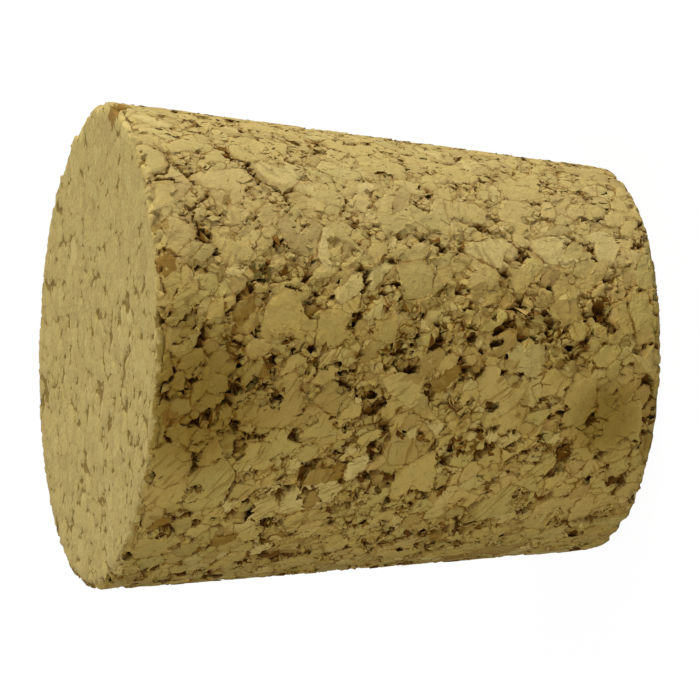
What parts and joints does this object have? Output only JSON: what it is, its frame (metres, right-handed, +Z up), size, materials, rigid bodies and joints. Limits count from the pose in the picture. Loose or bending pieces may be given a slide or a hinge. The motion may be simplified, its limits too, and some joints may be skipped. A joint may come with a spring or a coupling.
{
  "type": "cork stopper",
  "caption": "Tapered round stopper of bonded cork granules, ground to a plain taper, that wedges into the neck of a bottle, jar or flask to close it.",
  "frame": {"origin": "centre of the small end's face, on which the stopper stands", "axes": "+Z up the axis, from the small end to the large end; -Y towards the side that the picture shows"},
  "size_m": [0.0348, 0.0348, 0.038],
  "materials": {
    "cork": "matte"
  },
  "bodies": {
    "root": {"stopper": "cork"}
  },
  "joints": []
}
